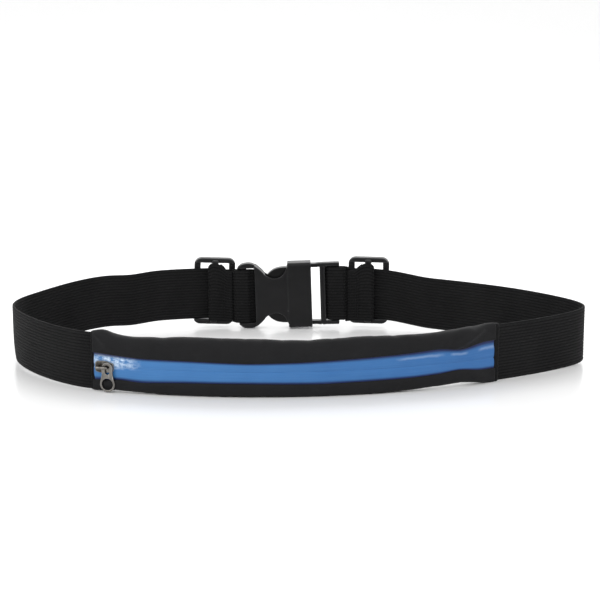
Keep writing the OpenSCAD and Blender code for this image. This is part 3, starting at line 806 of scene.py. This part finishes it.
# The settled moves are turned into outward and up at each column.
columnA = columnS / pouch["radius"]
outward = np.stack([np.sin(columnA), -np.cos(columnA)], 1)
drapeN = (drape[..., :2] * outward[None]).sum(-1)
drapeZ = drape[..., 2]

# Folds that show, each with its two ends (along the pouch and up), how far it stands proud and how wide it is.
folds = [(-85.5, 30.6, -81, 28.6, 1.0, 1.1), (-84, 30.5, -75, 23.5, 0.55, 1.6),
         (-82, 27, -66, 21.5, 0.3, 1.5), (-60, 28.9, -42, 26.6, 0.5, 0.9), (-46, 28.6, -36, 27.6, 0.35, 0.8),
         (-31, 28.8, -23, 27.4, 0.4, 0.8), (119, 31, 101, 20.6, 1.3, 1.8),
         (124, 29, 111, 22, -0.7, 2.0), (104, 28, 88, 24.5, 0.4, 2.2), (70, 27.5, 95, 22, -0.25, 2.4),
         (124, 2, 108, 7, 0.5, 1.8), (-84, 2.5, -70, 6.2, 0.4, 1.6), (20, 27, 48, 22, 0.2, 3.0),
         (-20, 26, 4, 21, 0.18, 3.0)]


def foldedOut(s, z):
    total = np.zeros(np.broadcast(s, z).shape)
    for s0, z0, s1, z1, proud, wide in folds:
        ds, dz = s1 - s0, z1 - z0
        long = math.hypot(ds, dz)
        t = np.clip(((s - s0) * ds + (z - z0) * dz) / long ** 2, 0, 1)
        away = np.hypot(s - s0 - t * ds, z - z0 - t * dz)
        total += proud * np.exp(-(away / wide) ** 2) * np.sin(np.clip(t * 0.9 + 0.05, 0, 1) * math.pi) ** 0.6
    return total


softN = tubeN + drapeN
softZ = tubeZ + drapeZ
softN[:upEnd] += foldedOut(columnS[None], tubeZ[:upEnd])
softN[downEnd:riseEnd] += foldedOut(columnS[None], tubeZ[downEnd:riseEnd])
softZ = np.maximum(softZ, 0.06)
# Near the slider the cloth stays behind the pull, which can swing up over it.
pressed = smoothStep((-62 - columnS) / 6)[None] * smoothStep((27 - tubeZ[:upEnd]) / 3)
softN[:upEnd] -= pressed * np.maximum(softN[:upEnd] - pouch["behindPull"], 0)

slitZ = pouch["zipHeight"]
uAlong = columnS - leftS


# A sheet of cloth over the pouch's columns, given its thickness and smoothed.
def sheetPiece(name, n, z, v, finish, stands, thickness, inward=-1.0, fine=1):
    points = pouchPlace(columnS[None], n, z)
    piece = gridPiece(name, points.transpose(1, 0, 2), uAlong, v)
    addModifier(piece, "SOLIDIFY", thickness=thickness * millimetre, offset=inward)
    addModifier(piece, "SUBSURF", levels=fine, render_levels=fine)
    settle(piece)
    return dress(piece, finish, "belt", stands)


def runRound(n, z):
    step = np.hypot(np.diff(n[:, len(columnS) // 2]), np.diff(z[:, len(columnS) // 2]))
    return np.concatenate([[0], np.cumsum(step)])


# A hem: the cloth turns in at the zip and runs back behind itself.
def hemmed(n, z, sign):
    edgeN, edgeZ = n[0], z[0]
    turnN = [-0.95, -0.95, -0.9, -0.72, -0.42, -0.12]
    turnZ = [5.0, 2.5, 0.75, 0.2, -0.02, 0.12]
    hemN = np.array([edgeN + d for d in turnN])
    hemZ = np.array([edgeZ + sign * d for d in turnZ])
    z = z.copy()
    z[0] = edgeZ + sign * 0.55
    return np.concatenate([hemN, n]), np.concatenate([hemZ, z])


upperN, upperZ = hemmed(softN[:upEnd], softZ[:upEnd], 1)
lowerN, lowerZ = hemmed(softN[downEnd:riseEnd][::-1], softZ[downEnd:riseEnd][::-1], -1)
upperPanel = sheetPiece("upperPanel", upperN, upperZ, runRound(upperN, upperZ), "pouch", ("upper_panel",),
                        pouch["sheet"])
lowerPanel = sheetPiece("lowerPanel", lowerN, lowerZ, runRound(lowerN, lowerZ), "pouch", ("lower_panel",),
                        pouch["sheet"], 1.0)
rowsBack = slice(upEnd - 3, downEnd + 3)
backNs, backZs = softN[rowsBack] + 0.25, softZ[rowsBack]
backPanel = sheetPiece("backPanel", backNs, backZs, runRound(backNs, backZs), "pouch", ("back_panel",), 0.6)
print("pouch panels cut")


# The zip: two coated tapes that meet at a slit, coils behind them, stops, slider and pull.
zipper = {"slit": 0.03, "tape": 0.5, "reach": 2.8, "recess": 0.95, "crinkleFrom": -60.0, "crinkle": 0.32,
          "coilPitch": 1.25, "sliderAt": 6.9, "wire": 0.3, "coilN": 0.75, "coilZ": 0.9}
tapeMove = drapeN[riseEnd:].mean(0) * 0.4
tapeFace = frontN - zipper["recess"]


# A tape lies flat behind its panel, bows a little, and turns in at the slit.
def tapePiece(name, sign, edge, stands):
    gap = zipper["slit"]
    flatZ = np.concatenate([edge + sign * np.array([zipper["reach"], 1.2, 0.0])[:, None],
                            slitZ + (edge - slitZ) * np.array([0.82, 0.62, 0.42, 0.22])[:, None]])
    turnZ = slitZ + sign * np.array([0.5, 0.26, 0.09, 0.01, 0.0, 0.0])[:, None] + sign * gap
    turnN = np.array([0.0, -0.01, -0.07, -0.24, -0.8, -1.5])[:, None]
    z = np.concatenate([flatZ, turnZ + np.zeros_like(columnS)])
    n = tapeFace + tapeMove + np.concatenate([np.zeros_like(flatZ), turnN + np.zeros_like(columnS)])
    bow = np.sin(np.clip((z - slitZ) * sign / 6, 0, 1) * math.pi) * 0.22
    mask = smoothStep((zipper["crinkleFrom"] - columnS) / 8)[None] * (sign > 0)
    crinkle = np.array([[noise.noise((s * 0.32, zz * 0.55, 4.2)) + 0.5 * noise.noise((s * 0.9, zz * 1.3, 1.7))
                         for s in columnS] for zz in z.mean(1)])
    n = n + bow + crinkle * mask * zipper["crinkle"] * np.clip((z - slitZ) * sign - 0.8, 0, 1)
    v = sign * np.array([8.8, 7.2, 6.0, 4.92, 3.72, 2.52, 1.32, 0.5, 0.26, 0.09, 0.01, 0.0, 0.0])
    return sheetPiece(name, n, z, v, "tape", stands, zipper["tape"], -1.0 if sign < 0 else 1.0)


tapePiece("upperZipTape", 1, zipTopZ, ("upper_zip_tape",))
tapePiece("lowerZipTape", -1, zipBottomZ, ("lower_zip_tape",))


# A coil is one wire wound along the back of its tape.
def coilPiece(name, sign, node):
    first, last = leftS + 3, rightS - 3
    turns = (last - first) / zipper["coilPitch"]
    perTurn, around = 12, 6
    t = np.arange(int(turns * perTurn) + 1) / perTurn
    s = first + t * zipper["coilPitch"]
    angle = t * 2 * math.pi
    n = 0.05 + zipper["coilN"] * 0.62 * np.cos(angle)
    z = slitZ + sign * (0.55 + zipper["coilZ"] + zipper["coilZ"] * 0.68 * np.sin(angle))
    line = pouchPlace(s, n, z)
    ahead = np.gradient(line, axis=0)
    ahead /= np.linalg.norm(ahead, axis=1)[:, None]
    a = np.cross(ahead, [0, 0, 1.0])
    a /= np.linalg.norm(a, axis=1)[:, None]
    b = np.cross(ahead, a)
    q = np.arange(around) / around * 2 * math.pi
    ring = np.cos(q)[None, :, None] * a[:, None] + np.sin(q)[None, :, None] * b[:, None]
    tube = line[:, None] + zipper["wire"] * ring
    piece = gridPiece(name, tube, s, np.append(q, 2 * math.pi), ringColumns=True, caps=True)
    fixOutward(piece)
    return dress(piece, "coil", "belt", (node,))


coilPiece("upperZipCoil", 1, "upper_zip_coil")
coilPiece("lowerZipCoil", -1, "lower_zip_coil")
mouldedCopy("zipTopStop", "zip_top_stop", "metal", "belt", 0.14, 4, 0.6)
mouldedCopy("zipBottomStop", "zip_bottom_stop", "metal", "belt", 0.14, 4, 0.6)
zipSlider = mouldedCopy("zipSlider", "zip_slider", "metal", "slider", 0.12, 6, 0.5)
# Its front plate narrows to a rounded shield below the crown.
shield = {"from": 1.4, "to": 3.0, "share": 0.8, "taper": 0.22, "halfLength": 5.0}
sliderA = (leftS + zipper["sliderAt"]) / pouch["radius"]
for vertex in zipSlider.data.vertices:
    x, y, z = np.array(vertex.co) / millimetre
    dx, dy = x - pouchCentre[0], y - pouchCentre[1]
    proud = math.hypot(dx, dy) - pouch["radius"]
    along = (math.atan2(dx, -dy) - sliderA) * pouch["radius"]
    if shield["from"] < proud < shield["to"]:
        narrow = shield["share"] - shield["taper"] * (along / shield["halfLength"]) ** 2
        vertex.co.z = (slitZ + (z - slitZ) * narrow) * millimetre
mouldedCopy("zipPull", "zip_pull", "pull", "pull", 0.11, 5, 0.5)
print("zip made")


# The folded ends of the pouch, where the webbing is sewn in.
fold = {"corner": 1.0, "slotHalf": 0.78, "slotLow": 0.35, "slotHigh": 30.65, "slotCorner": 0.3, "wrinkle": 0.14,
        "around": 84, "length": 74}


def endBinding(name, side, stands):
    column = 0 if side < 0 else -1
    end = leftS if side < 0 else rightS
    zLow, zHigh = bottomZ[column], topZ[column]
    nOut, nIn = frontN[column], backN[column]

    def ring(reach, shrink, slot=None):
        if slot:
            n0, n1, z0, z1, r = -slot, slot, fold["slotLow"], fold["slotHigh"], fold["slotCorner"]
        else:
            n0, n1, z0, z1, r = nIn + shrink, nOut - shrink, zLow + shrink, zHigh - shrink, fold["corner"]
        nodes = []
        for cn, cz, first in ((n1 - r, z1 - r, 90), (n0 + r, z1 - r, 180),
                              (n0 + r, z0 + r, 270), (n1 - r, z0 + r, 0)):
            for k in range(5):
                a = math.radians(first - 90 + k * 22.5)
                nodes.append((cn + r * math.cos(a), cz + r * math.sin(a)))
        nodes = np.array(nodes)
        dense = []
        for k in range(len(nodes)):
            a, b = nodes[k], nodes[(k + 1) % len(nodes)]
            count = max(1, int(np.hypot(*(b - a)) / 1.2))
            dense += [a + (b - a) * q / count for q in range(count)]
        return reach, np.array(dense)

    wide = pouch["leftBinding"] if side < 0 else pouch["rightBinding"]
    rings = [ring(-0.9, 0.5), ring(-0.2, 0.16), ring(0.06 * wide, 0.0), ring(0.36 * wide, -0.12),
             ring(0.76 * wide, -0.02), ring(wide - 0.05, 0.3)]
    slotRing = ring(wide - 0.15, 0, fold["slotHalf"])
    count = fold["around"]

    def even(points):
        closed = np.concatenate([points, points[:1]])
        run = runAlong(closed)
        at = np.linspace(0, run[-1], count, endpoint=False)
        return np.stack([np.interp(at, run, closed[:, k]) for k in (0, 1)], 1)

    rows = []
    for reach, points in rings + [slotRing, (0.4 * wide, slotRing[1])]:
        points = even(points)
        s = end + side * reach
        wrinkle = np.array([noise.noise((p[1] * 0.35, reach * 0.6, side * 2.0)) for p in points]) * fold["wrinkle"]
        rows.append(pouchPlace(s, points[:, 0] + wrinkle * np.sign(points[:, 0]), np.maximum(points[:, 1], 0.05)))
    grid = np.array(rows)
    u = np.array([r[0] for r in rings] + [2.9, 3.6])
    v = np.linspace(0, fold["length"], count + 1)
    piece = gridPiece(name, grid, u, v, ringColumns=True)
    addModifier(piece, "SUBSURF", levels=1, render_levels=1)
    settle(piece)
    fixOutward(piece)
    return dress(piece, "binding", "belt", stands)


endBinding("leftEndBinding", -1, ("left_end_binding",))
endBinding("rightEndBinding", 1, ("right_end_binding",))


# Stitches are short humps of thread along lines of points, each with the direction that it faces.
thread = {"length": 2.1, "pitch": 2.7, "radius": 0.2}


def stitchRow(name, lines, body, sink=0.06):
    points, faces = [], []
    ring, rings = 6, 5
    for line in lines:
        line = np.asarray(line, float)
        run = np.concatenate([[0], np.cumsum(np.linalg.norm(np.diff(line[:, :3], axis=0), axis=1))])
        count = max(1, int(run[-1] / thread["pitch"]))
        for k in range(count):
            mid = (k + 0.5) * run[-1] / count
            at = np.linspace(mid - thread["length"] / 2, mid + thread["length"] / 2, rings)
            centre = np.stack([np.interp(at, run, line[:, q]) for q in range(3)], 1)
            up = np.stack([np.interp(at, run, line[:, 3 + q]) for q in range(3)], 1)
            up /= np.linalg.norm(up, axis=1)[:, None]
            ahead = centre[-1] - centre[0]
            ahead /= np.linalg.norm(ahead)
            sideways = np.cross(ahead, up)
            swell = np.sin(np.linspace(0.12, 0.88, rings) * math.pi) ** 0.5
            first = len(points)
            for c, h, w, sw in zip(centre, up, swell, sideways):
                for q in range(ring):
                    a = 2 * math.pi * q / ring
                    points.append(c + thread["radius"] * w * (math.cos(a) * sw + math.sin(a) * h)
                                  + h * (thread["radius"] * (w - 1) - sink))
            for r in range(rings - 1):
                for q in range(ring):
                    faces.append([first + r * ring + q, first + r * ring + (q + 1) % ring,
                                  first + (r + 1) * ring + (q + 1) % ring, first + (r + 1) * ring + q])
            faces.append([first + q for q in range(ring)][::-1])
            faces.append([first + (rings - 1) * ring + q for q in range(ring)])
    piece = meshPiece(name, points, faces)
    fixOutward(piece)
    return dress(piece, "thread", body)


def endSeam(side, n, z0, z1, reach):
    s = (leftS if side < 0 else rightS) + side * reach
    z = np.linspace(z0, z1, 20)
    place = pouchPlace(s, np.full_like(z, n), z)
    angle = s / pouch["radius"]
    up = np.array([math.sin(angle), -math.cos(angle), 0]) * (1 if n > 0 else -1)
    return np.concatenate([place, np.broadcast_to(up, place.shape)], 1)


for side, word in ((-1, "left"), (1, "right")):
    column = 0 if side < 0 else -1
    reach = 0.45 if side < 0 else 1.3
    lines = [endSeam(side, frontN[column] + 0.1, bottomZ[column] + 1.4, topZ[column] - 1.4, reach),
             endSeam(side, backN[column] - 0.1, bottomZ[column] + 1.4, topZ[column] - 1.4, reach)]
    stitchRow(word + "EndStitches", lines, "belt")


def flapSeams(side, centre, radius, at, flap, body, slant):
    lines = []
    n = glide["inner"] - glide["loopThickness"] - 0.1 - glide["loopThickness"] / 2 - 0.1
    for back in (1.4, 4.6, 6.0):
        low = glide["low"] - slant * (flap - back)
        z = np.linspace(low + 1.6, low + glide["loopWidth"] - 1.6, 16)
        sunk = 0.12 if back > 4 else 0
        flat = onArc(centre, radius, side, np.full(16, at - flap + back), np.full(16, n - sunk))
        place = np.concatenate([flat, z[:, None]], 1)
        up = np.concatenate([(centre - flat) / radius, np.zeros((16, 1))], 1)
        lines.append(np.concatenate([place, up], 1))
    return stitchRow(body.split("_")[0] + "FlapStitches", lines, body)


flapSeams(-1, leftCentre, belt["leftRadius"], glide["leftAt"], glide["leftFlap"], "left_glide", glide["leftSlant"])
flapSeams(1, rightCentre, belt["rightRadius"], glide["rightAt"], glide["rightFlap"], "right_glide",
          glide["rightSlant"])


# A seam along the back of the pouch, top and bottom, just inside the folds.
def backSeam(row, name):
    s = columnS[3:-3]
    place = pouchPlace(s, softN[row][3:-3] + 0.2, softZ[row][3:-3])
    up = -np.concatenate([outward[3:-3], np.zeros((len(s), 1))], 1)
    return stitchRow(name, [np.concatenate([place, up], 1)], "belt")


backSeam(upEnd + 1, "backTopStitches")
backSeam(downEnd - 2, "backBottomStitches")
print("stitched")


# The floor curves up behind, under soft light.
studio = {"floor": (0.93, 0.93, 0.93), "floorRoughness": 0.2, "world": 1.05, "key": 7.0, "fill": 2.0, "back": 7.0,
          "rim": 4.0}


def floorFinish():
    f = Finish("paleFloor", specularIorLevel=0.45)
    place = f.bodyPlace()
    soft = f.clouds(place, 3.0, 2)
    f.feed("baseColor", f.shade(soft, studio["floor"], [c * 0.985 for c in studio["floor"]]))
    f.feed("roughness", studio["floorRoughness"] + soft * 0.06)
    return f.material


floorRows = []
for x in (-6, 6):
    line = [(-4, 0.0), (1.4, 0.0)]
    line += [(1.4 + 1.6 * math.sin(a), 1.6 - 1.6 * math.cos(a)) for a in np.linspace(0.1, math.pi / 2, 14)]
    line.append((3.0, 7.0))
    floorRows.append([(x / millimetre, y / millimetre, z / millimetre) for y, z in line])
floorGrid = np.array(floorRows)
floor = gridPiece("floor", floorGrid, np.arange(2.0), np.arange(float(floorGrid.shape[1])))
floor.data.materials.append(floorFinish())

world = bpy.data.worlds.new("studio")
scene.world = world
world.use_nodes = True
world.node_tree.nodes["Background"].inputs[0].default_value = (1, 1, 1, 1)
world.node_tree.nodes["Background"].inputs[1].default_value = studio["world"]


def softbox(name, place, size, watts, aim=(0, 0, 0.015)):
    light = bpy.data.lights.new(name, "AREA")
    light.shape, light.size, light.size_y = "RECTANGLE", size[0], size[1]
    light.energy = watts
    lamp = bpy.data.objects.new(name, light)
    scene.collection.objects.link(lamp)
    lamp.location = place
    lamp.rotation_euler = (Vector(aim) - Vector(place)).to_track_quat("-Z", "Y").to_euler()
    return lamp


softbox("keyLight", (-1.1, -0.9, 1.1), (0.8, 0.8), studio["key"])
softbox("fillLight", (1.2, -0.8, 0.9), (0.8, 0.8), studio["fill"])
softbox("backLight", (0.1, 0.9, 1.2), (1.4, 0.6), studio["back"])
softbox("rimLight", (0.0, 1.25, 0.45), (2.6, 0.6), studio["rim"])
print("studio lit")
